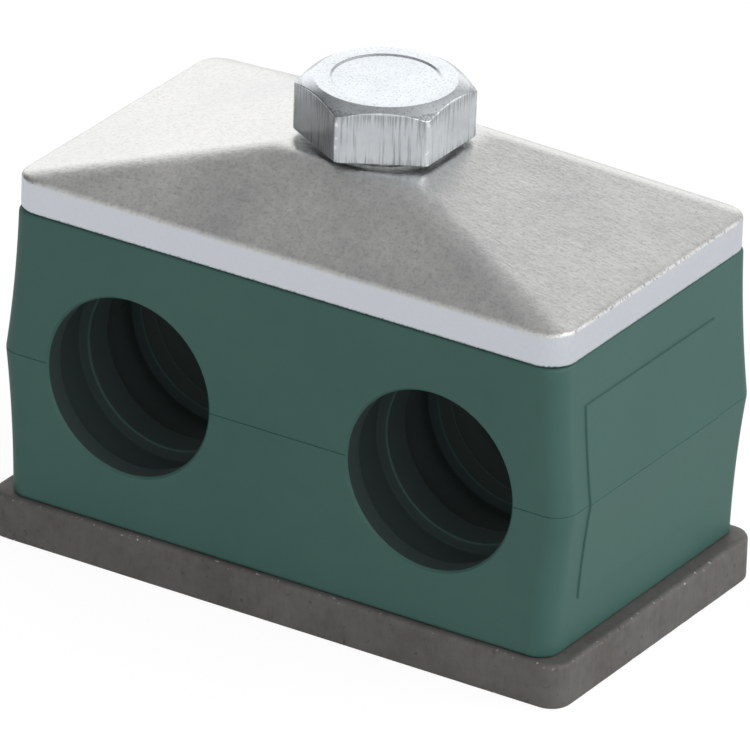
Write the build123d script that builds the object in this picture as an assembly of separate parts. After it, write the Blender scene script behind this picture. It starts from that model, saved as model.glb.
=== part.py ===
from build123d import *
import math
import os

# Twin tube clamp for two 16 mm hydraulic lines, held by one M8 screw between them.
# Frame: millimetres, origin at the centre of the weld plate's underside, X along the
# row of tubes, Y along the tubes, Z up through the screw.

# Tubes and clamp body (two equal plastic halves that meet at the parting plane)
tube_spacing = 29.0        # between the two tube axes
bore_radius = 7.8          # crest of the gripping ribs, closed clamp
groove_depth = 0.9         # hollow between two ribs
rib_lands = [2.0, 2.9, 2.0]     # end land, inner rib, middle rib
groove_widths = [4.1, 5.0]      # outer hollow, inner hollow
half_height = 12.9
parting_length = 54.6      # the ends flare out to this length at the parting plane
end_flare = 1.0            # each end comes in by this much at the top and bottom faces
end_hollow = 0.2           # how far the flared ends dip behind a straight slope
body_corner_radius = 2.2
body_rim_chamfer = 0.35
screw_clearance_radius = 4.5

# Raised bare pad on each end of each half, from the parting plane outwards
pad_width = 20.0
pad_height = 8.6
pad_offset = -1.0          # along the tubes
pad_raise = 0.25

# Weld plate and the threaded bush pressed into it
plate_end_margin = 0.5     # beyond the flared ends
plate_side_margin = 0.5
plate_thickness = 4.0
plate_corner_radius = 3.0
plate_edge_chamfer = 0.5
bush_radius = 6.0
bush_height = 6.0          # above the plate
bush_spigot_radius = 5.0
bush_press_clearance = 0.02
pocket_side_clearance = 0.4
pocket_end_clearance = 0.6

# Pressed cover plate
cover_overhang = 0.05      # beyond each end of the clamp body's top
cover_corner_radius = 2.5
cover_thickness = 3.0
cover_rise = 5.1           # from the rim's top edge to the screw's seat
cover_rim = 1.2            # flat rim left under the edge
seat_length = 13.2         # square flat under the screw head, before its edges are rounded
fold_radius = 3.0          # ridges and seat edges
cover_edge_chamfer = 0.5
hollow_inset = 0.6         # the seat's flat is this much smaller on the inside, each side

# Hexagon head screw M8 x 35
thread_radius = 3.95
thread_clearance = 0.05    # in the bush
screw_tip_z = 2.9          # the point stops inside the bush
point_chamfer = 1.0
head_flats = 13.0
head_height = 5.3
washer_face_radius = 5.8
washer_face_height = 0.4
head_top_radius = 5.9
head_chamfer_angle = 30.0

# Places that follow from the sizes
body_width = 2 * sum(rib_lands[:2]) + rib_lands[2] + 2 * sum(groove_widths)
cover_width = body_width
parting_z = plate_thickness + half_height
body_top = parting_z + half_height
cover_edge_top = body_top + cover_thickness
seat_z = cover_edge_top + cover_rise
end_length = parting_length - 2 * end_flare
plate_length = parting_length + 2 * plate_end_margin
plate_width = body_width + 2 * plate_side_margin
cover_length = end_length + 2 * cover_overhang
screw_length = seat_z - screw_tip_z     # 35 mm, the standard length
bore_centres = [(-tube_spacing / 2, 0, 0), (tube_spacing / 2, 0, 0)]
pocket_radius = bush_radius + pocket_side_clearance
pocket_depth = bush_height + pocket_end_clearance
through = 2.0              # how far a cutting tool runs past the face it cuts


def end_profile(inset=0.0):
    """Front outline of one half, parting plane at Z = 0, flared ends moved in by inset."""
    wide = parting_length / 2 - inset
    narrow = end_length / 2 - inset
    middle = (wide + narrow) / 2 - end_hollow
    with BuildSketch(Plane.XZ) as outline:
        with BuildLine():
            Line((-wide, 0), (wide, 0))
            ThreePointArc((wide, 0), (middle, half_height / 2), (narrow, half_height))
            Line((narrow, half_height), (-narrow, half_height))
            ThreePointArc((-narrow, half_height), (-middle, half_height / 2), (-wide, 0))
        make_face()
    return outline.sketch


def half_block(inset=0.0):
    return extrude(end_profile(inset), amount=body_width / 2, both=True)


def ribbed_bore():
    """Cutting tool for one tube bore: ribs at bore_radius with hollows between them."""
    stations = []
    y = -body_width / 2
    lands = rib_lands + rib_lands[1::-1]
    grooves = groove_widths + groove_widths[::-1]
    for land, groove in zip(lands, grooves):
        stations.append((y + land, y + land + groove))
        y += land + groove
    start = -body_width / 2 - through
    finish = body_width / 2 + through
    with BuildSketch(Plane.XY) as section:
        with BuildLine():
            Line((0, start), (bore_radius, start))
            here = start
            for near, far in stations:
                floor_radius = bore_radius + groove_depth
                Line((bore_radius, here), (bore_radius, near))
                Polyline((bore_radius, near), (floor_radius, near), (floor_radius, far), (bore_radius, far))
                here = far
            Line((bore_radius, here), (bore_radius, finish))
            Line((bore_radius, finish), (0, finish))
            Line((0, finish), (0, start))
        make_face()
    return revolve(section.sketch, Axis.Y)


def end_pads():
    """Block that stands proud of both ends by pad_raise and follows their flare."""
    window = Pos(0, pad_offset, pad_height / 2) * Box(parting_length + through, pad_width, pad_height)
    return half_block(-pad_raise) & window


def clamp_half():
    """One half with its parting face down on Z = 0. Both halves are this moulding."""
    half = half_block()
    corners = half.edges().filter_by(lambda e: 0.1 * half_height < e.center().Z < 0.9 * half_height)
    half = fillet(corners, body_corner_radius)
    outer = half.faces().sort_by(Axis.Z)[-1]
    half = chamfer(outer.edges(), body_rim_chamfer)
    half += end_pads()
    bore = ribbed_bore()
    for centre in bore_centres:
        half -= Pos(*centre) * bore
    reach = half_height + 2 * through
    half -= Pos(0, 0, half_height / 2) * Cylinder(screw_clearance_radius, reach)
    pocket_floor = half_height - pocket_depth
    half -= Pos(0, 0, pocket_floor) * Cylinder(
        pocket_radius, pocket_depth + through, align=(Align.CENTER, Align.CENTER, Align.MIN)
    )
    return half


def weld_plate():
    with BuildSketch() as outline:
        RectangleRounded(plate_length, plate_width, plate_corner_radius)
    plate = extrude(outline.sketch, amount=plate_thickness)
    plate = chamfer(plate.faces().sort_by(Axis.Z)[-1].edges(), plate_edge_chamfer)
    hole = Cylinder(bush_spigot_radius, plate_thickness + 2 * through)
    return plate - Pos(0, 0, plate_thickness / 2) * hole


def threaded_bush():
    """Shouldered bush: spigot in the plate, collar standing up into the lower half."""
    spigot_radius = bush_spigot_radius - bush_press_clearance
    spigot = Cylinder(spigot_radius, plate_thickness, align=(Align.CENTER, Align.CENTER, Align.MIN))
    collar = Cylinder(bush_radius, bush_height, align=(Align.CENTER, Align.CENTER, Align.MIN))
    bush = spigot + Pos(0, 0, plate_thickness) * collar
    height = plate_thickness + bush_height
    thread = Cylinder(thread_radius + thread_clearance, height + 2 * through)
    return bush - Pos(0, 0, height / 2) * thread


def slope_wedge(plane, bottom, top, bottom_z, top_z, depth):
    """Trapezoid on an upright plane, drawn out to both sides."""
    with BuildSketch(plane) as side:
        with BuildLine():
            Polyline(
                (-bottom / 2, bottom_z),
                (bottom / 2, bottom_z),
                (top / 2, top_z),
                (-top / 2, top_z),
                close=True,
            )
        make_face()
    return extrude(side.sketch, amount=depth, both=True)


def tent(bottom, top, bottom_z, top_z):
    """Four plane slopes between two rectangles given as (length, width)."""
    along = slope_wedge(Plane.XZ, bottom[0], top[0], bottom_z, top_z, bottom[1])
    across = slope_wedge(Plane.YZ, bottom[1], top[1], bottom_z, top_z, bottom[0])
    return along & across


def cover_plate():
    """Pressed from one sheet: four slopes up to a flat seat, hollow underneath."""
    base = (Align.CENTER, Align.CENTER, Align.MIN)
    sheet_edge = Pos(0, 0, body_top) * Box(cover_length, cover_width, cover_thickness, align=base)
    slopes = tent((cover_length, cover_width), (seat_length, seat_length), cover_edge_top, seat_z)
    cover = sheet_edge + slopes
    folds = cover.edges().filter_by(lambda e: e.center().Z > cover_edge_top + 0.1 * cover_rise)
    cover = fillet(folds, fold_radius)
    with BuildSketch(Plane.XY.offset(body_top)) as outline:
        RectangleRounded(cover_length, cover_width, cover_corner_radius)
    cover &= extrude(outline.sketch, amount=cover_thickness + cover_rise)
    sides = cover.faces().filter_by(lambda f: abs(f.normal_at().Z) < 0.01)
    rim = [
        e
        for e in cover.edges()
        if e.center().Z > body_top + cover_thickness / 2
        and abs(e.tangent_at(0.5).Z) < 0.5
        and any(e.is_same(other) for other in sides.edges())
    ]
    cover = chamfer(rim, cover_edge_chamfer)
    hollow_seat = seat_length - 2 * hollow_inset
    cover -= tent(
        (cover_length - 2 * cover_rim, cover_width - 2 * cover_rim),
        (hollow_seat, hollow_seat),
        body_top,
        seat_z - cover_thickness,
    )
    reach = cover_thickness + cover_rise + 2 * through
    return cover - Pos(0, 0, seat_z - reach / 2 + through) * Cylinder(screw_clearance_radius, reach)


def hex_bolt():
    """Head with a turned washer face below and a 30 degree chamfer above."""
    corner_radius = head_flats / math.sqrt(3)
    hex_z = seat_z + washer_face_height
    with BuildSketch(Plane.XY.offset(hex_z)) as hexagon:
        RegularPolygon(corner_radius, 6, rotation=30)
    head = extrude(hexagon.sketch, amount=head_height - washer_face_height)
    head_top = seat_z + head_height
    drop = math.tan(math.radians(head_chamfer_angle))
    wide = corner_radius + 1.0
    with BuildSketch(Plane.XZ) as turned:
        with BuildLine():
            Polyline(
                (0, hex_z),
                (wide, hex_z),
                (wide, head_top - (wide - head_top_radius) * drop),
                (head_top_radius, head_top),
                (0, head_top),
                close=True,
            )
        make_face()
    head &= revolve(turned.sketch, Axis.Z)
    base = (Align.CENTER, Align.CENTER, Align.MIN)
    washer_face = Pos(0, 0, seat_z) * Cylinder(washer_face_radius, washer_face_height, align=base)
    shank = Pos(0, 0, seat_z - screw_length) * Cylinder(thread_radius, screw_length, align=base)
    shank = chamfer(shank.edges().sort_by(Axis.Z)[0], point_chamfer)
    return head + washer_face + shank


def build():
    half = clamp_half()
    parts = {
        "weld_plate": weld_plate(),
        "threaded_bush": threaded_bush(),
        "lower_clamp_half": Pos(0, 0, parting_z) * Rot(0, 180, 0) * half,
        "upper_clamp_half": Pos(0, 0, parting_z) * half,
        "cover_plate": cover_plate(),
        "hex_bolt": hex_bolt(),
    }
    os.makedirs("parts", exist_ok=True)
    for name, shape in parts.items():
        export_step(shape, f"parts/{name}.step")


build()
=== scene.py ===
import math

import bmesh
import bpy
from mathutils import Matrix, Vector, noise


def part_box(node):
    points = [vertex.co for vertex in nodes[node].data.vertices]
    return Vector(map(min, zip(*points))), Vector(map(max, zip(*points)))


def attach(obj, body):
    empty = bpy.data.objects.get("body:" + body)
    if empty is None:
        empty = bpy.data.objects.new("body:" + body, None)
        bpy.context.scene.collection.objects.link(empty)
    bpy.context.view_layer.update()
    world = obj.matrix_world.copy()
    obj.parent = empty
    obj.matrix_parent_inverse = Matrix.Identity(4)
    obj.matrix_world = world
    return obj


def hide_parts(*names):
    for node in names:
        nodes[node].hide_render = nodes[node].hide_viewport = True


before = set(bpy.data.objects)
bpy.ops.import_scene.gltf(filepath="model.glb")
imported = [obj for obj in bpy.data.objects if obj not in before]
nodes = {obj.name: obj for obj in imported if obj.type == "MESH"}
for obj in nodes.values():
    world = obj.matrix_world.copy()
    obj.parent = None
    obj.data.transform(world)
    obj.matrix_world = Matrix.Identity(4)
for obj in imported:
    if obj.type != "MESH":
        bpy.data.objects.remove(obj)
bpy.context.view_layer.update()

# ---------------------------------------------------------------------------
# Weld plate. A blank cut from hot rolled flat bar, left bare so that it can be
# welded down: rolled, softly rounded edges and dark mill scale that has rubbed
# off along them. The clamp body stands on it.


def box_of(node):
    low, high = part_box(node)
    return Vector(low), Vector(high)


def evenly(low, high, count):
    """Places strictly between low and high, count steps in all."""
    return [low + (high - low) * step / count for step in range(1, count)]


def rounded_outline(length, width, radius, across, along, corner_steps=8):
    """Rounded rectangle as (place, outward direction) pairs, counterclockwise.

    across holds the places along X on the two long sides, along those on Y at the ends.
    """
    corner_x = length / 2 - radius
    corner_y = width / 2 - radius
    runs = (
        (corner_x, corner_y, [(x, width / 2) for x in reversed(across)]),
        (-corner_x, corner_y, [(-length / 2, y) for y in reversed(along)]),
        (-corner_x, -corner_y, [(x, -width / 2) for x in across]),
        (corner_x, -corner_y, [(length / 2, y) for y in along]),
    )
    pairs = []
    for number, (x, y, run) in enumerate(runs):
        for step in range(corner_steps + 1):
            angle = math.pi / 2 * (number + step / corner_steps)
            out = Vector((math.cos(angle), math.sin(angle)))
            pairs.append((Vector((x, y)) + radius * out, out))
        pairs += [(Vector(place), out) for place in run]
    return pairs


def soften(profile, radii, steps=4):
    """Open polyline with its inner corners rounded by short curves."""
    softened = [Vector(profile[0])]
    for before, corner, after, radius in zip(profile, profile[1:], profile[2:], radii):
        corner = Vector(corner)
        back = (Vector(before) - corner).normalized()
        onward = (Vector(after) - corner).normalized()
        reach = radius / math.tan(back.angle(onward) / 2)
        for step in range(steps + 1):
            share = step / steps
            softened.append(corner + reach * ((1 - share) ** 2 * back + share**2 * onward))
    softened.append(Vector(profile[-1]))
    return softened


def ring_mesh(name, rings, closed=False):
    """Skin over rings of equal point counts: a closed loop of rings, or capped at both ends."""
    count = len(rings[0])
    points = [point for ring in rings for point in ring]
    faces = []
    for row in range(len(rings) if closed else len(rings) - 1):
        here = row * count
        there = (row + 1) % len(rings) * count
        for column in range(count):
            after = (column + 1) % count
            faces.append((here + column, here + after, there + after, there + column))
    if not closed:
        faces.append(tuple(range(count)))
        faces.append(tuple(range(len(points) - count, len(points))))
    mesh = bpy.data.meshes.new(name)
    mesh.from_pydata(points, [], faces)
    return mesh


def tidy_surface(mesh, sharp_angle=40.0):
    """Outward normals, smooth shading up to sharp_angle, and the worn edges' attribute."""
    surface = bmesh.new()
    surface.from_mesh(mesh)
    merge_distance = 1e-7
    full_wear = math.radians(15)
    bmesh.ops.remove_doubles(surface, verts=surface.verts, dist=merge_distance)
    bmesh.ops.recalc_face_normals(surface, faces=surface.faces)
    wear = [
        max([min(edge.calc_face_angle_signed(0) / full_wear, 1) for edge in vertex.link_edges] + [0])
        for vertex in surface.verts
    ]
    surface.to_mesh(mesh)
    surface.free()
    worn = mesh.attributes.new("worn_edge", "FLOAT", "POINT")
    worn.data.foreach_set("value", wear)
    mesh.shade_smooth()
    mesh.set_sharp_from_angle(angle=math.radians(sharp_angle))


def baked(piece):
    """The piece's mesh with its modifiers applied; the piece itself is removed."""
    depsgraph = bpy.context.evaluated_depsgraph_get()
    finished = piece.evaluated_get(depsgraph)
    mesh = bpy.data.meshes.new_from_object(finished, preserve_all_data_layers=True, depsgraph=depsgraph)
    bpy.data.objects.remove(piece)
    return mesh


def new_object(name, mesh):
    piece = bpy.data.objects.new(name, mesh)
    bpy.context.scene.collection.objects.link(piece)
    return piece


def even_shading(mesh):
    """Weighted normals, so that wide flats stay flat beside small roundings."""
    piece = new_object("shading", mesh)
    modifier = piece.modifiers.new("weights", "WEIGHTED_NORMAL")
    modifier.keep_sharp = True
    modifier.weight = 100
    return baked(piece)


def dress(name, mesh, material, node, body):
    """Put a finished mesh in the scene in place of a node's solid, on the body that carries it."""
    mesh.materials.clear()
    mesh.materials.append(material)
    mesh.name = name
    piece = new_object(name, mesh)
    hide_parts(node)
    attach(piece, body)


def new_material(name):
    material = bpy.data.materials.new(name)
    material.use_nodes = True
    tree = material.node_tree
    return material, tree, tree.nodes["Principled BSDF"]


def link(tree, source, target):
    tree.links.new(source, target)


def socket_of(sockets, identifier):
    """A Mix node has several sockets of one name, so they are told apart by identifier."""
    return next(socket for socket in sockets if socket.identifier == identifier)


def shader_group(name, inputs, output):
    """Empty shader group with a Vector input, float inputs with defaults, and one float output."""
    group = bpy.data.node_groups.new(name, "ShaderNodeTree")
    group.interface.new_socket("Vector", in_out="INPUT", socket_type="NodeSocketVector")
    for label, value in inputs.items():
        socket = group.interface.new_socket(label, in_out="INPUT", socket_type="NodeSocketFloat")
        socket.default_value = value
    group.interface.new_socket(output, in_out="OUTPUT", socket_type="NodeSocketFloat")
    return group, group.nodes.new("NodeGroupInput"), group.nodes.new("NodeGroupOutput")


def noise_node(tree, vector, scale, detail):
    """scale is a number or the socket that gives it."""
    node = tree.nodes.new("ShaderNodeTexNoise")
    node.inputs["Detail"].default_value = detail
    link(tree, vector, node.inputs["Vector"])
    if isinstance(scale, (int, float)):
        node.inputs["Scale"].default_value = scale
    else:
        link(tree, scale, node.inputs["Scale"])
    return node.outputs["Fac"]


def math_node(tree, operation, *values):
    """One sum in a node tree; each value is a number or a socket."""
    node = tree.nodes.new("ShaderNodeMath")
    node.operation = operation
    for socket, value in zip(node.inputs, values):
        if isinstance(value, (int, float)):
            socket.default_value = value
        else:
            link(tree, value, socket)
    return node.outputs[0]


def mottle_group():
    """Soft blotches at two sizes, 0 to 1."""
    group, given, result = shader_group("mottle", {"Coarse": 100, "Fine": 1000, "Fine share": 0.4}, "Mask")
    coarse = noise_node(group, given.outputs["Vector"], given.outputs["Coarse"], 3)
    fine = noise_node(group, given.outputs["Vector"], given.outputs["Fine"], 4)
    mix = group.nodes.new("ShaderNodeMix")
    link(group, given.outputs["Fine share"], socket_of(mix.inputs, "Factor_Float"))
    link(group, coarse, socket_of(mix.inputs, "A_Float"))
    link(group, fine, socket_of(mix.inputs, "B_Float"))
    link(group, socket_of(mix.outputs, "Result_Float"), result.inputs["Mask"])
    return group


def edge_wear_group():
    """Flecks along worn edges, 0 to 1: the edge attribute broken up by noise."""
    fleck_softness = 0.12
    group, given, result = shader_group("edge_wear", {"Edge": 0, "Grain": 900, "Bare share": 0.5}, "Mask")
    grain = noise_node(group, given.outputs["Vector"], given.outputs["Grain"], 3)
    worn = math_node(group, "MULTIPLY", grain, given.outputs["Edge"])
    level = math_node(group, "SUBTRACT", 1.0, given.outputs["Bare share"])
    step = group.nodes.new("ShaderNodeMapRange")
    step.interpolation_type = "SMOOTHSTEP"
    link(group, worn, step.inputs["Value"])
    link(group, level, step.inputs["From Min"])
    link(group, math_node(group, "ADD", level, fleck_softness), step.inputs["From Max"])
    link(group, step.outputs["Result"], result.inputs["Mask"])
    return group


mottle = mottle_group()
edge_wear = edge_wear_group()


def add_group(tree, group, vector, **values):
    node = tree.nodes.new("ShaderNodeGroup")
    node.node_tree = group
    link(tree, vector, node.inputs["Vector"])
    for label, value in values.items():
        socket = node.inputs[label.replace("_", " ")]
        if isinstance(value, (int, float)):
            socket.default_value = value
        else:
            link(tree, value, socket)
    return node.outputs["Mask"]


def object_place(tree, stretch=(1, 1, 1)):
    """Object coordinates, squeezed or drawn out by stretch."""
    place = tree.nodes.new("ShaderNodeTexCoord").outputs["Object"]
    if stretch == (1, 1, 1):
        return place
    mapping = tree.nodes.new("ShaderNodeMapping")
    mapping.inputs["Scale"].default_value = stretch
    link(tree, place, mapping.inputs["Vector"])
    return mapping.outputs["Vector"]


def add_ramp(tree, value, stops):
    node = tree.nodes.new("ShaderNodeValToRGB")
    elements = node.color_ramp.elements
    while len(elements) < len(stops):
        elements.new(0.5)
    for element, (place, colour) in zip(elements, stops):
        element.position = place
        element.color = (*colour, 1)
    link(tree, value, node.inputs["Fac"])
    return node.outputs["Color"]


def add_range(tree, value, low, high, to_low, to_high):
    node = tree.nodes.new("ShaderNodeMapRange")
    node.inputs["From Min"].default_value = low
    node.inputs["From Max"].default_value = high
    node.inputs["To Min"].default_value = to_low
    node.inputs["To Max"].default_value = to_high
    link(tree, value, node.inputs["Value"])
    return node.outputs["Result"]


def add_mix(tree, share, first, second):
    """Some share of a plain second colour laid over the first."""
    node = tree.nodes.new("ShaderNodeMix")
    node.data_type = "RGBA"
    link(tree, share, socket_of(node.inputs, "Factor_Float"))
    link(tree, first, socket_of(node.inputs, "A_Color"))
    socket_of(node.inputs, "B_Color").default_value = (*second, 1)
    return socket_of(node.outputs, "Result_Color")


def add_bump(tree, height, strength, distance, over=None):
    node = tree.nodes.new("ShaderNodeBump")
    node.inputs["Strength"].default_value = strength
    node.inputs["Distance"].default_value = distance
    link(tree, height, node.inputs["Height"])
    if over is not None:
        link(tree, over, node.inputs["Normal"])
    return node.outputs["Normal"]


def worn_edge(tree):
    node = tree.nodes.new("ShaderNodeAttribute")
    node.attribute_name = "worn_edge"
    return node.outputs["Fac"]


def mill_scale_steel():
    """Blue-grey scale with a brown cast, fine upright drag marks and rubbed edges."""
    material, tree, shader = new_material("mill_scale_steel")
    place = object_place(tree)
    blotches = add_group(tree, mottle, place, Coarse=130, Fine=900, Fine_share=0.35)
    marks = noise_node(tree, object_place(tree, (1, 1, 0.25)), 2600, 3)
    grain = noise_node(tree, place, 5200, 2)
    spots = add_range(tree, noise_node(tree, place, 1700, 2), 0.66, 0.74, 0.0, 0.6)
    colour = add_ramp(tree, blotches, [(0.34, (0.106, 0.098, 0.092)), (0.52, (0.134, 0.127, 0.122)),
                                       (0.68, (0.152, 0.149, 0.147))])
    streaked = add_mix(tree, add_range(tree, marks, 0.52, 0.72, 0.0, 0.35), colour, (0.085, 0.079, 0.075))
    spotted = add_mix(tree, spots, streaked, (0.060, 0.056, 0.054))
    flecks = add_group(tree, edge_wear, place, Edge=worn_edge(tree), Grain=2600, Bare_share=0.38)
    link(tree, add_mix(tree, flecks, spotted, (0.50, 0.49, 0.46)), shader.inputs["Base Color"])
    shader.inputs["Metallic"].default_value = 0.25
    shader.inputs["Specular IOR Level"].default_value = 0.25
    link(tree, add_range(tree, blotches, 0.3, 0.7, 0.62, 0.5), shader.inputs["Roughness"])
    coarse = add_bump(tree, marks, 0.5, 0.00003)
    link(tree, add_bump(tree, grain, 0.6, 0.00002, coarse), shader.inputs["Normal"])
    return material


plate_low, plate_high = box_of("weld_plate")
plate_size = plate_high - plate_low
plate_corner_radius = 0.0019
plate_rim = 0.0012
plate_edge_radii = [0.00035, 0.0005]
hole_radius = 0.005
dent_depth = 0.00004
dent_spread = 400


def rolled(point):
    """A little unevenness, as rolled and cropped bar has."""
    return dent_depth * noise.noise(point * dent_spread)


def plate_rings():
    across = evenly(-plate_size.x / 2 + plate_corner_radius, plate_size.x / 2 - plate_corner_radius, 40)
    along = evenly(-plate_size.y / 2 + plate_corner_radius, plate_size.y / 2 - plate_corner_radius, 22)
    outline = rounded_outline(plate_size.x, plate_size.y, plate_corner_radius, across, along)
    bottom, top = plate_low.z, plate_high.z
    edge = soften([(plate_rim, bottom), (0, bottom), (0, top), (plate_rim, top)], plate_edge_radii)
    rings = []
    for inset, height in edge:
        ring = []
        for place, out in outline:
            flat = place - inset * out
            point = Vector((*flat, height))
            dent = abs(rolled(point)) * out
            ring.append((point.x - dent.x, point.y - dent.y, height))
        rings.append(ring)
    for height in (top, bottom):
        rings.append([(*(hole_radius * place.normalized()), height) for place, out in outline])
    return rings


bare_steel = mill_scale_steel()
plate_mesh = ring_mesh("weld_plate_bar", plate_rings(), closed=True)
tidy_surface(plate_mesh)
dress("weld_plate_bar", even_shading(plate_mesh), bare_steel, "weld_plate", "base")

# ---------------------------------------------------------------------------
# Threaded bush. Turned from bar, with a spigot pressed into the weld plate and a
# collar that stands up inside the lower clamp half. It takes the screw's thread.


def turned_steel():
    """Bare turned steel with the lathe's fine rings."""
    material, tree, shader = new_material("turned_steel")
    rings = noise_node(tree, object_place(tree, (0.05, 0.05, 1)), 9000, 2)
    colour = add_ramp(tree, rings, [(0.35, (0.33, 0.32, 0.31)), (0.65, (0.46, 0.45, 0.44))])
    link(tree, colour, shader.inputs["Base Color"])
    shader.inputs["Metallic"].default_value = 1.0
    link(tree, add_range(tree, rings, 0.3, 0.7, 0.38, 0.5), shader.inputs["Roughness"])
    link(tree, add_bump(tree, rings, 0.5, 0.00001), shader.inputs["Normal"])
    return material


nodes["threaded_bush"].data.materials.clear()
nodes["threaded_bush"].data.materials.append(turned_steel())

# ---------------------------------------------------------------------------
# Clamp halves. Two equal injection mouldings in green polypropylene with a satin
# skin, ribbed bores that grip the tubes, flared ends and a raised pad on each end.
# They meet at the parting plane, and only the screw holds them together.

upper_low, upper_high = box_of("upper_clamp_half")
tube_spacing = 0.029
parting_z = upper_low.z
half_height = upper_high.z - upper_low.z
body_width = upper_high.y - upper_low.y
pad_raise = 0.00025  # of the solid, whose box gives the body's length
pad_stand = 0.00014  # of the moulding's skin above the face round it
pad_height = 0.0086
pad_ends = (-0.011, 0.009)
pad_slope = 0.00005
witness_depth = 0.00004
parting_reach = upper_high.x - pad_raise
end_flare = 0.001
end_hollow = 0.0002
body_corner_radius = 0.0019
parting_edge = 0.00012
body_rim = 0.00035
cap_inset = 0.001
bore_radius = 0.0078
bore_lip = 0.0002
lip_round = 0.00008
groove_depth = 0.0009
groove_round = 0.0002
groove_draft = 0.0001
rib_edge = 0.00028
rib_lands = (0.002, 0.0029, 0.002, 0.0029, 0.002)
groove_widths = (0.0041, 0.005, 0.005, 0.0041)
clearance_radius = 0.0045
pocket_radius = 0.0064
pocket_depth = 0.0066


def end_reach(height):
    """Half the body's length at this height above the parting plane."""
    share = min(max(height / half_height, 0), 1)
    return parting_reach - end_flare * share - 4 * end_hollow * share * (1 - share)


def rise(value, edge):
    """Smooth step from 0 to 1 over the pad's sloping side."""
    share = min(max((value - edge) / pad_slope / 2 + 0.5, 0), 1)
    return share * share * (3 - 2 * share)


def nick(value, middle):
    """1 at the bottom of a narrow witness groove, 0 beside it."""
    return max(1 - abs(value - middle) / pad_slope, 0)


def pad_relief(y, height):
    """The pad's raise, less the witness groove that its mould insert leaves round it."""
    inside = rise(y, pad_ends[0]) * (1 - rise(y, pad_ends[1]))
    beside = max(nick(y, pad_ends[0] - pad_slope), nick(y, pad_ends[1] + pad_slope))
    above = nick(height, pad_height + pad_slope)
    past = 1.1 * pad_slope
    in_span = pad_ends[0] - past < y < pad_ends[1] + past
    witness = max(beside if height < pad_height + past else 0, above if in_span else 0)
    return pad_stand * inside * (1 - rise(height, pad_height)) - witness_depth * witness


def block_mesh():
    """Solid block of one half, with finer rows and columns where the pads' edges run."""
    steps = (-1.0, -0.5, 0.0, 0.5, 1.0, 2.0)
    below_relief, above_relief = 0.0003, 0.0004
    across_pad = [-0.006, 0.0, 0.005]
    along = list(across_pad)
    along += [pad_ends[0] - step * pad_slope for step in steps]
    along += [pad_ends[1] + step * pad_slope for step in steps]
    along.sort()
    corners = [(cap_inset, 0), (0, 0), (0, half_height), (cap_inset, half_height)]
    edge = soften(corners, [parting_edge, body_rim])
    side = [(0, height) for height in evenly(parting_edge, pad_height - below_relief, 8)]
    side += [(0, pad_height + step * pad_slope) for step in steps]
    side += [(0, height) for height in evenly(pad_height + above_relief, half_height - body_rim, 4)]
    middle = len(edge) // 2
    profile = edge[:middle] + side + edge[middle:]
    rings = []
    for inset, height in profile:
        outline = rounded_outline(2 * end_reach(height), body_width, body_corner_radius, [], along)
        ring = []
        for place, out in outline:
            flat = place - inset * out
            on_end_face = abs(out.x) > 0.999
            if on_end_face:
                flat.x += pad_relief(flat.y, height) * out.x
            ring.append((flat.x, flat.y, height))
        rings.append(ring)
    mesh = ring_mesh("block", rings)
    tidy_surface(mesh)
    return mesh


def turned_mesh(name, profile, centre, axis, count=96):
    """Closed solid turned from a (radius, station) profile about Y or Z through centre."""
    rings = []
    for radius, station in profile:
        ring = []
        for step in range(count):
            angle = 2 * math.pi * step / count
            across, up = radius * math.cos(angle), radius * math.sin(angle)
            place = (across, station, up) if axis == "Y" else (across, up, station)
            ring.append(Vector(place) + Vector(centre))
        rings.append(ring)
    mesh = ring_mesh(name, rings)
    tidy_surface(mesh)
    return mesh


def bore_profile():
    """Ribs at bore_radius, hollows between them, and a small lip at each face."""
    end = body_width / 2
    beyond = 0.001
    bottom = bore_radius + groove_depth
    corners = [(bore_radius + bore_lip + beyond, -end - beyond), (bore_radius, -end + bore_lip)]
    radii = [lip_round]
    y = -end
    for land, groove in zip(rib_lands, groove_widths):
        y += land
        corners += [(bore_radius, y), (bottom, y + groove_draft)]
        corners += [(bottom, y + groove - groove_draft), (bore_radius, y + groove)]
        radii += [rib_edge, groove_round, groove_round, rib_edge]
        y += groove
    corners += [(bore_radius, end - bore_lip), (bore_radius + bore_lip + beyond, end + beyond)]
    radii += [lip_round]
    return soften(corners, radii, steps=3)


def half_mesh():
    """One half, parting face down at Z = 0, cut by its bores, screw hole and bush pocket."""
    beyond = 0.002
    cutters = [
        turned_mesh("bore", bore_profile(), (side * tube_spacing / 2, 0, 0), "Y") for side in (-1, 1)
    ]
    hole = [(clearance_radius, -beyond), (clearance_radius, half_height + beyond)]
    pocket = [(pocket_radius, half_height - pocket_depth), (pocket_radius, half_height + beyond)]
    cutters += [turned_mesh("hole", profile, (0, 0, 0), "Z", 64) for profile in (hole, pocket)]
    block = new_object("block", block_mesh())
    tools = [new_object("cutter", mesh) for mesh in cutters]
    for tool in tools:
        cut = block.modifiers.new("cut", "BOOLEAN")
        cut.operation = "DIFFERENCE"
        cut.solver = "EXACT"
        cut.object = tool
    mesh = baked(block)
    for tool in tools:
        bpy.data.objects.remove(tool)
    mesh.attributes.remove(mesh.attributes["worn_edge"])
    tidy_surface(mesh, 32.0)
    return even_shading(mesh)


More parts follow.
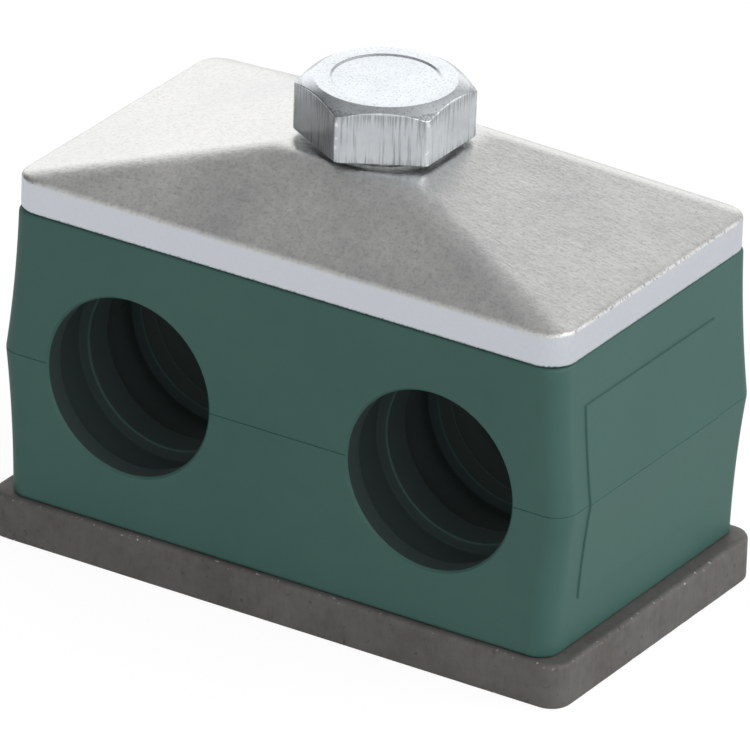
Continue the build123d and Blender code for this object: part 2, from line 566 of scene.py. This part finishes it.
def bore_shade_mask(tree, place):
    """Mask of the painted shade on the walls of the two tube bores: 1 there, less on the rib crests' edges,
    which are left lighter as if lit, 0 outside.
    """
    shade_reach = bore_radius + groove_depth + 0.0002
    crest_light_from, crest_light_to = bore_radius + 0.00002, bore_radius + 0.00013
    crest_light_share = 0.6
    split = tree.nodes.new("ShaderNodeSeparateXYZ")
    link(tree, place, split.inputs[0])
    x, y, z = split.outputs
    aside = math_node(tree, "SUBTRACT", math_node(tree, "ABSOLUTE", x), tube_spacing / 2)
    above = math_node(tree, "SUBTRACT", z, parting_z)
    squares = math_node(tree, "ADD", math_node(tree, "POWER", aside, 2), math_node(tree, "POWER", above, 2))
    near = math_node(tree, "LESS_THAN", squares, shade_reach**2)
    off_crest = math_node(tree, "GREATER_THAN", squares, crest_light_from**2)
    off_wall = math_node(tree, "LESS_THAN", squares, crest_light_to**2)
    # Less painted shade on the rib crests' edges: a painted lighter line where light would catch them.
    crest_light = math_node(tree, "MULTIPLY", math_node(tree, "MULTIPLY", off_crest, off_wall), -crest_light_share)
    within = math_node(tree, "LESS_THAN", math_node(tree, "ABSOLUTE", y), body_width / 2 - bore_lip)
    return math_node(tree, "MULTIPLY", math_node(tree, "ADD", near, crest_light), within)


def green_polypropylene():
    """Moulded skin: even green, faint flow marks and a fine satin grain; shade painted into the bores as a
    dark grey.
    """
    material, tree, shader = new_material("green_polypropylene")
    place = object_place(tree)
    flow = add_group(tree, mottle, place, Coarse=70, Fine=700, Fine_share=0.3)
    grain = noise_node(tree, place, 4200, 2)
    colour = add_ramp(tree, flow, [(0.35, (0.040, 0.104, 0.088)), (0.65, (0.047, 0.116, 0.098))])
    inside = bore_shade_mask(tree, place)
    # Painted shade: the bore walls are darkened and greyed to stand in for the shade deep inside the bores.
    painted_bore_shade = math_node(tree, "MULTIPLY", inside, 0.72)
    link(tree, add_mix(tree, painted_bore_shade, colour, (0.034, 0.037, 0.038)), shader.inputs["Base Color"])
    skin = add_range(tree, flow, 0.3, 0.7, 0.46, 0.56)
    link(tree, math_node(tree, "MULTIPLY_ADD", inside, 0.35, skin), shader.inputs["Roughness"])
    waves = add_bump(tree, flow, 0.25, 0.0002)
    link(tree, add_bump(tree, grain, 0.25, 0.00001, waves), shader.inputs["Normal"])
    shader.inputs["IOR"].default_value = 1.49
    shader.inputs["Specular IOR Level"].default_value = 0.3
    return material


green = green_polypropylene()
moulding = half_mesh()
parting = Matrix.Translation((0, 0, parting_z))
turned_over = parting @ Matrix.Rotation(math.pi, 4, "Y")
for name, node, body, place in (
    ("lower_half_moulding", "lower_clamp_half", "base", turned_over),
    ("upper_half_moulding", "upper_clamp_half", "top", parting),
):
    copy = moulding.copy()
    copy.transform(place)
    dress(name, copy, green, node, body)

# ---------------------------------------------------------------------------
# Cover plate. Pressed from 3 mm steel sheet and zinc plated: four slopes up to the
# screw's seat, a rolled-over top edge and a sheared rim. It spreads the screw's
# pull over the upper half.

cover_low, cover_high = box_of("cover_plate")
cover_size = cover_high - cover_low
sheet = 0.003
cover_edge_top = cover_low.z + sheet
cover_corner_radius = 0.0024
seat_length = 0.0132
hollow_rim = 0.0012
hollow_inset = 0.0006
hollow_seat = seat_length - 2 * hollow_inset
fold_blend = 0.00026
ridge_blend = 0.0009
rolled_edge = 0.00038
sheared_edge = 0.0004
dimple_depth = 0.0000375
dimple_spread = 160


def soft_min(first, second, blend):
    """The smaller of two heights, with a rounded fold where they meet."""
    share = max(blend - abs(first - second), 0) / blend
    return min(first, second) - share * share * blend / 4


def tent_height(x, y, base, base_z, seat, seat_z, ridge):
    """Height of four slopes between the base rectangle and the square seat, ridges blended."""
    along = (base[0] / 2 - abs(x)) / (base[0] - seat) * 2
    across = (base[1] / 2 - abs(y)) / (base[1] - seat) * 2
    gain = seat_z - base_z
    slopes = soft_min(base_z + gain * along, base_z + gain * across, ridge)
    return soft_min(slopes, seat_z, fold_blend)


def cover_top(x, y):
    dimple = dimple_depth * min(noise.noise(Vector((x, y, 0.3)) * dimple_spread), 0)
    base = (cover_size.x, cover_size.y)
    return tent_height(x, y, base, cover_edge_top, seat_length, cover_high.z, ridge_blend) + dimple


def cover_hollow(x, y):
    base = (cover_size.x - 2 * hollow_rim, cover_size.y - 2 * hollow_rim)
    return tent_height(x, y, base, cover_low.z, hollow_seat, cover_high.z - sheet, fold_blend)


def spoke_ring(outline, inset, share, height_at):
    """Ring of points part of the way from the screw hole out to the inset outline."""
    ring = []
    for place, out in outline:
        rim = place - inset * out
        hole = clearance_radius * place.normalized()
        flat = hole.lerp(rim, share)
        ring.append((flat.x, flat.y, height_at(flat.x, flat.y)))
    return ring


def cover_rings():
    """From the screw hole out over the top, round the rim, and back in along the hollow."""
    across = evenly(-cover_size.x / 2 + cover_corner_radius, cover_size.x / 2 - cover_corner_radius, 76)
    along = evenly(-cover_size.y / 2 + cover_corner_radius, cover_size.y / 2 - cover_corner_radius, 44)
    outline = rounded_outline(cover_size.x, cover_size.y, cover_corner_radius, across, along, 12)
    spokes = 64
    rings = [spoke_ring(outline, rolled_edge, step / spokes, cover_top) for step in range(spokes)]
    roll_steps = 6
    for step in range(roll_steps + 1):
        share = step / roll_steps
        inset = rolled_edge * (1 - share) ** 2
        sink = rolled_edge * share**2
        ring = []
        for place, out in outline:
            flat = place - inset * out
            ring.append((flat.x, flat.y, cover_top(flat.x, flat.y) - sink))
        rings.append(ring)
    below_roll = cover_edge_top - 0.001
    corners = [(0, below_roll), (0, cover_low.z), (hollow_rim, cover_low.z)]
    for inset, height in soften(corners, [sheared_edge]):
        rings.append([(*(place - inset * out), height) for place, out in outline])
    inner_spokes = 40
    for step in range(inner_spokes - 1, -1, -1):
        rings.append(spoke_ring(outline, hollow_rim, step / inner_spokes, cover_hollow))
    return rings


def zinc_plated_sheet():
    """Barrel plated sheet: a fine pitted satin, scuffs, and bright flecks on the rolled edge."""
    material, tree, shader = new_material("zinc_plated_sheet")
    place = object_place(tree)
    clouds = add_group(tree, mottle, place, Coarse=110, Fine=1300, Fine_share=0.4)
    pits = noise_node(tree, place, 3600, 4)
    scuffs = noise_node(tree, object_place(tree, (0.35, 1, 1)), 1900, 3)
    colour = add_ramp(tree, clouds, [(0.32, (0.575, 0.577, 0.575)), (0.68, (0.775, 0.77, 0.752))])
    pitted = add_mix(tree, add_range(tree, pits, 0.51, 0.32, 0.0, 0.45), colour, (0.42, 0.42, 0.415))
    flecks = add_group(tree, edge_wear, place, Edge=worn_edge(tree), Grain=2400, Bare_share=0.44)
    split = tree.nodes.new("ShaderNodeSeparateXYZ")
    link(tree, place, split.inputs[0])
    rim = add_range(tree, split.outputs["Z"], cover_edge_top - 0.0001, cover_edge_top - 0.0004, 0, 0.85)
    sheared = add_mix(tree, rim, pitted, (0.67, 0.71, 0.77))
    crushed = add_range(tree, math_node(tree, "MULTIPLY", worn_edge(tree), pits), 0.46, 0.58, 0, 0.8)
    edged = add_mix(tree, crushed, sheared, (0.30, 0.31, 0.32))
    link(tree, add_mix(tree, flecks, edged, (0.80, 0.81, 0.83)), shader.inputs["Base Color"])
    shader.inputs["Metallic"].default_value = 1.0
    link(tree, add_range(tree, clouds, 0.3, 0.7, 0.28, 0.42), shader.inputs["Roughness"])
    worked = add_bump(tree, scuffs, 0.5, 0.00004)
    link(tree, add_bump(tree, pits, 0.6, 0.00004, worked), shader.inputs["Normal"])
    return material


zinc_sheet = zinc_plated_sheet()
cover_mesh = ring_mesh("pressed_cover", cover_rings(), closed=True)
tidy_surface(cover_mesh)
dress("pressed_cover", even_shading(cover_mesh), zinc_sheet, "cover_plate", "top")

# ---------------------------------------------------------------------------
# Hexagon head screw, M8. Cold headed steel, zinc plated: a dished and ringed top
# left bare, 30 degree chamfer, drawn flats, a turned washer face and a rolled
# thread that screws into the bush.

screw_low, screw_high = box_of("hex_bolt")
seat_z = cover_high.z
head_top = screw_high.z
head_flats = screw_high.x - screw_low.x
washer_height = 0.0004
washer_radius = 0.0058
top_radius = 0.0059
ring_radius = 0.0044
ring_depth = 0.00012
ring_width = 0.00018
centre_radius = 0.0006
point_chamfer = 0.001
chamfer_slope = math.tan(math.radians(30))
neck_radius = 0.00395
neck_length = 0.0014
thread_pitch = 0.00125
thread_depth = 0.00068


def hexagon_reach(angle):
    """Distance to a hexagon with flats on the X axis and slightly rounded corners."""
    sharpness = 64
    total = sum(abs(math.cos(angle - turn * math.pi / 3)) ** sharpness for turn in range(3))
    return head_flats / 2 / total ** (1 / sharpness)


def head_profile(angle):
    """Section of the head from its top centre down to the neck, as (radius, height) points."""
    reach = hexagon_reach(angle)
    chamfer_end = head_top - (reach - top_radius) * chamfer_slope
    corners = [
        (centre_radius, head_top - ring_depth),
        (ring_radius, head_top - ring_depth),
        (ring_radius + ring_width, head_top),
        (top_radius, head_top),
        (reach, chamfer_end),
        (reach, seat_z + washer_height),
        (washer_radius, seat_z + washer_height),
        (washer_radius, seat_z),
        (neck_radius, seat_z),
        (neck_radius, seat_z - neck_length),
    ]
    rounding = [0.0001, 0.0001, 0.0002, 0.00016, 0.00014, 0.00008, 0.00008, 0.0001]
    return soften(corners, rounding)


def head_mesh():
    """The section above, taken at every angle and joined into one closed skin."""
    columns = 252
    profiles = [head_profile(2 * math.pi * column / columns) for column in range(columns)]
    rings = []
    for step in range(len(profiles[0])):
        ring = []
        for column, profile in enumerate(profiles):
            angle = 2 * math.pi * column / columns
            radius, height = profile[step]
            ring.append((radius * math.cos(angle), radius * math.sin(angle), height))
        rings.append(ring)
    mesh = ring_mesh("screw_head", rings)
    tidy_surface(mesh)
    return even_shading(mesh)


def zinc_plated_screw():
    """Bright bluish zinc with upright drawing marks on the flats and flecks on the edges."""
    marks_from, marks_full, flat_end = 0.0011, 0.0021, 0.0024
    material, tree, shader = new_material("zinc_plated_screw")
    place = object_place(tree)
    clouds = add_group(tree, mottle, place, Coarse=260, Fine=1500, Fine_share=0.4)
    drawn = noise_node(tree, object_place(tree, (1, 1, 0.05)), 5200, 3)
    pits = noise_node(tree, place, 4200, 3)
    colour = add_ramp(tree, clouds, [(0.32, (0.57, 0.605, 0.635)), (0.68, (0.70, 0.73, 0.755))])
    split = tree.nodes.new("ShaderNodeSeparateXYZ")
    link(tree, place, split.inputs[0])
    flat_middle = seat_z + (head_top - seat_z) * 0.45
    from_middle = math_node(tree, "ABSOLUTE", math_node(tree, "SUBTRACT", split.outputs["Z"], flat_middle))
    ragged = add_range(tree, from_middle, marks_from, marks_full, 0.0, 0.16)
    on_flat = math_node(tree, "LESS_THAN", from_middle, flat_end)
    dashes = math_node(tree, "ADD", drawn, math_node(tree, "MULTIPLY", ragged, on_flat))
    marked = add_mix(tree, add_range(tree, dashes, 0.54, 0.74, 0.0, 0.7), colour, (0.27, 0.28, 0.28))
    flecks = add_group(tree, edge_wear, place, Edge=worn_edge(tree), Grain=1500, Bare_share=0.5)
    link(tree, add_mix(tree, flecks, marked, (0.88, 0.89, 0.90)), shader.inputs["Base Color"])
    shader.inputs["Metallic"].default_value = 1.0
    link(tree, add_range(tree, clouds, 0.3, 0.7, 0.16, 0.26), shader.inputs["Roughness"])
    lines = add_bump(tree, drawn, 0.4, 0.00001)
    link(tree, add_bump(tree, pits, 0.35, 0.00001, lines), shader.inputs["Normal"])
    return material


def thread_tree(material):
    """Node tree for a rolled thread: a grid wound into a cylinder whose radius follows the helix."""
    flank_gain, crest_width = 1.3, 0.12
    end_row = 0.0001
    merge_distance = 0.000002
    tree = bpy.data.node_groups.new("rolled_thread", "GeometryNodeTree")
    interface = tree.interface
    interface.new_socket("Geometry", in_out="INPUT", socket_type="NodeSocketGeometry")
    for label in ("Tip height", "Length", "Radius", "Pitch", "Depth"):
        interface.new_socket(label, in_out="INPUT", socket_type="NodeSocketFloat")
    for label in ("Columns", "Rows"):
        interface.new_socket(label, in_out="INPUT", socket_type="NodeSocketInt")
    interface.new_socket("Geometry", in_out="OUTPUT", socket_type="NodeSocketGeometry")
    given = tree.nodes.new("NodeGroupInput").outputs
    grid = tree.nodes.new("GeometryNodeMeshGrid")
    grid.inputs["Size X"].default_value = 1
    grid.inputs["Size Y"].default_value = 1
    link(tree, given["Columns"], grid.inputs["Vertices X"])
    link(tree, given["Rows"], grid.inputs["Vertices Y"])
    position = tree.nodes.new("GeometryNodeInputPosition")
    split = tree.nodes.new("ShaderNodeSeparateXYZ")
    link(tree, position.outputs[0], split.inputs[0])
    turn = math_node(tree, "ADD", split.outputs["X"], 0.5)
    share = math_node(tree, "ADD", split.outputs["Y"], 0.5)
    climb = math_node(tree, "MULTIPLY", share, given["Length"])
    turns = math_node(tree, "DIVIDE", climb, given["Pitch"])
    phase = math_node(tree, "FRACT", math_node(tree, "SUBTRACT", turns, turn))
    flank = math_node(tree, "ABSOLUTE", math_node(tree, "MULTIPLY_ADD", phase, 2, -1))
    steep = math_node(tree, "MULTIPLY_ADD", flank, flank_gain, -crest_width)
    groove = math_node(tree, "MINIMUM", math_node(tree, "MAXIMUM", steep, 0), 1)
    from_top = math_node(tree, "SUBTRACT", given["Length"], climb)
    fade = math_node(tree, "MINIMUM", math_node(tree, "DIVIDE", from_top, given["Pitch"]), 1)
    cut = math_node(tree, "MULTIPLY", math_node(tree, "MULTIPLY", groove, given["Depth"]), fade)
    crest = math_node(tree, "SUBTRACT", given["Radius"], cut)
    point = math_node(tree, "ADD", math_node(tree, "SUBTRACT", given["Radius"], point_chamfer), climb)
    above_tip = math_node(tree, "GREATER_THAN", share, end_row)
    below_top = math_node(tree, "LESS_THAN", share, 1 - end_row)
    inside = math_node(tree, "MULTIPLY", above_tip, below_top)
    radius = math_node(tree, "MULTIPLY", math_node(tree, "MINIMUM", crest, point), inside)
    angle = math_node(tree, "MULTIPLY", turn, 2 * math.pi)
    wound = tree.nodes.new("ShaderNodeCombineXYZ")
    link(tree, math_node(tree, "MULTIPLY", radius, math_node(tree, "COSINE", angle)), wound.inputs[0])
    link(tree, math_node(tree, "MULTIPLY", radius, math_node(tree, "SINE", angle)), wound.inputs[1])
    link(tree, math_node(tree, "ADD", climb, given["Tip height"]), wound.inputs[2])
    steps = (
        ("GeometryNodeSetPosition", {"Position": wound.outputs[0]}),
        ("GeometryNodeMergeByDistance", {"Distance": merge_distance}),
        ("GeometryNodeSetShadeSmooth", {}),
        ("GeometryNodeRealizeInstances", {}),
        ("GeometryNodeSetMaterial", {"Material": material}),
    )
    geometry = grid.outputs["Mesh"]
    for kind, values in steps:
        node = tree.nodes.new(kind)
        link(tree, geometry, node.inputs["Geometry"])
        geometry = node.outputs["Geometry"]
        for label, value in values.items():
            if isinstance(value, bpy.types.NodeSocket):
                link(tree, value, node.inputs[label])
            else:
                node.inputs[label].default_value = value
    result = tree.nodes.new("NodeGroupOutput")
    link(tree, geometry, result.inputs["Geometry"])
    return tree


def thread_mesh(material):
    """From the screw's point up into the plain neck, where the thread fades out."""
    into_neck = 0.0002
    rows_a_turn = 14
    length = seat_z - neck_length - screw_low.z + into_neck
    sizes = {
        "Tip height": screw_low.z,
        "Length": length,
        "Radius": neck_radius,
        "Pitch": thread_pitch,
        "Depth": thread_depth,
        "Columns": 49,
        "Rows": int(rows_a_turn * length / thread_pitch),
    }
    piece = new_object("thread", bpy.data.meshes.new("thread"))
    modifier = piece.modifiers.new("thread", "NODES")
    modifier.node_group = thread_tree(material)
    for item in modifier.node_group.interface.items_tree:
        if item.in_out == "INPUT" and item.name in sizes:
            modifier[item.identifier] = sizes[item.name]
    mesh = baked(piece)
    tidy_surface(mesh, 50)
    return mesh


zinc_screw = zinc_plated_screw()
dress("screw_head", head_mesh(), zinc_screw, "hex_bolt", "screw")
dress("screw_thread", thread_mesh(zinc_screw), zinc_screw, "hex_bolt", "screw")

# ---------------------------------------------------------------------------
# Studio: a pale floor, a soft sky that is brighter behind and to the right, one
# large key lamp, and a long lens that looks down on the front right corner.

floor_reach = 3.0
floor_glow = 1.075
glow_to_camera = 0.86
glow_in_metal = 0.3
sky_base = 0.48

floor_mesh = bpy.data.meshes.new("floor")
floor_corners = [(x * floor_reach, y * floor_reach, 0) for x, y in ((-1, -1), (1, -1), (1, 1), (-1, 1))]
floor_mesh.from_pydata(floor_corners, [], [(0, 1, 2, 3)])
floor = new_object("floor", floor_mesh)

floor_material, floor_tree, floor_shader = new_material("floor_paper")
floor_shader.inputs["Base Color"].default_value = (0.8, 0.8, 0.8, 1)
floor_shader.inputs["Roughness"].default_value = 1.0
floor_shader.inputs["Specular IOR Level"].default_value = 0.0
rays = floor_tree.nodes.new("ShaderNodeLightPath")
glow = floor_tree.nodes.new("ShaderNodeEmission")
glow.inputs["Color"].default_value = (1, 1, 1, 1)
glow.inputs["Strength"].default_value = floor_glow
camera_share = math_node(floor_tree, "MULTIPLY", rays.outputs["Is Camera Ray"], glow_to_camera)
glossy_share = math_node(floor_tree, "MULTIPLY", rays.outputs["Is Glossy Ray"], glow_in_metal)
blend = floor_tree.nodes.new("ShaderNodeMixShader")
link(floor_tree, math_node(floor_tree, "ADD", camera_share, glossy_share), blend.inputs[0])
link(floor_tree, floor_shader.outputs[0], blend.inputs[1])
link(floor_tree, glow.outputs[0], blend.inputs[2])
link(floor_tree, blend.outputs[0], floor_tree.nodes["Material Output"].inputs["Surface"])
floor_mesh.materials.append(floor_material)

world = bpy.data.worlds.new("studio")
bpy.context.scene.world = world
world.use_nodes = True
sky = world.node_tree
sky.nodes.clear()
direction = sky.nodes.new("ShaderNodeTexCoord").outputs["Generated"]


def sky_lobe(axis, narrow, strength):
    """Soft bright patch round one direction of the sky."""
    facing = sky.nodes.new("ShaderNodeVectorMath")
    facing.operation = "DOT_PRODUCT"
    facing.inputs[1].default_value = Vector(axis).normalized()
    link(sky, direction, facing.inputs[0])
    patch = sky.nodes.new("ShaderNodeMapRange")
    patch.interpolation_type = "SMOOTHSTEP"
    patch.inputs["From Min"].default_value = narrow
    patch.inputs["From Max"].default_value = 1.0
    patch.inputs["To Min"].default_value = 0.0
    patch.inputs["To Max"].default_value = strength
    link(sky, facing.outputs["Value"], patch.inputs["Value"])
    return patch.outputs["Result"]


# Behind on the left, right, front, overhead, and a shade on the left. Each has its direction,
# the cosine at which it has faded out, and its strength.
brightness = sky_base
for axis, narrow, strength in (
    ((-0.62, 0.77, 0.12), 0.68, 1.4),
    ((1.0, 0.2, 0.0), 0.0, 1.3),
    ((0.1, -1.0, 0.0), 0.0, 0.6),
    ((0.0, 0.5, 0.9), 0.6, 0.12),
    ((-1.0, -0.3, 0.1), 0.4, -0.35),
):
    brightness = math_node(sky, "ADD", sky_lobe(axis, narrow, strength), brightness)
soft = sky.nodes.new("ShaderNodeBackground")
link(sky, brightness, soft.inputs["Strength"])
white = sky.nodes.new("ShaderNodeBackground")
white.inputs["Color"].default_value = (1, 1, 1, 1)
seen = sky.nodes.new("ShaderNodeLightPath")
choose = sky.nodes.new("ShaderNodeMixShader")
link(sky, seen.outputs["Is Camera Ray"], choose.inputs[0])
link(sky, soft.outputs[0], choose.inputs[1])
link(sky, white.outputs[0], choose.inputs[2])
output = sky.nodes.new("ShaderNodeOutputWorld")
link(sky, choose.outputs[0], output.inputs["Surface"])

lamp_place = Vector((0.75, 0.15, 0.6))
lamp_aim = Vector((0, 0, 0.02))
lamp = bpy.data.lights.new("key_lamp", "AREA")
lamp.shape = "DISK"
lamp.size = 0.5
lamp.energy = 1.6
key_lamp = new_object("key_lamp", lamp)
key_lamp.location = lamp_place
key_lamp.rotation_euler = (lamp_aim - lamp_place).to_track_quat("-Z", "Y").to_euler()

azimuth = math.radians(31.47)
elevation = math.radians(25.83)
roll = math.radians(2.0)
camera_distance = 0.9879
aim_right = 0.00046
aim_up = 0.01472
level = Vector((math.sin(azimuth), -math.cos(azimuth), 0))
away = math.cos(elevation) * level + Vector((0, 0, math.sin(elevation)))
level_right = Vector((math.cos(azimuth), math.sin(azimuth), 0))
level_up = away.cross(level_right)
right = math.cos(roll) * level_right + math.sin(roll) * level_up
up = math.cos(roll) * level_up - math.sin(roll) * level_right
aim = aim_right * right + aim_up * up
camera_data = bpy.data.cameras.new("camera")
camera_data.lens = 574.5
camera_data.clip_start = 0.05
camera = new_object("camera", camera_data)
turn = Matrix((right, up, away)).transposed().to_4x4()
camera.matrix_world = Matrix.Translation(aim + camera_distance * away) @ turn
bpy.context.scene.camera = camera
bpy.context.scene.view_settings.view_transform = "Standard"
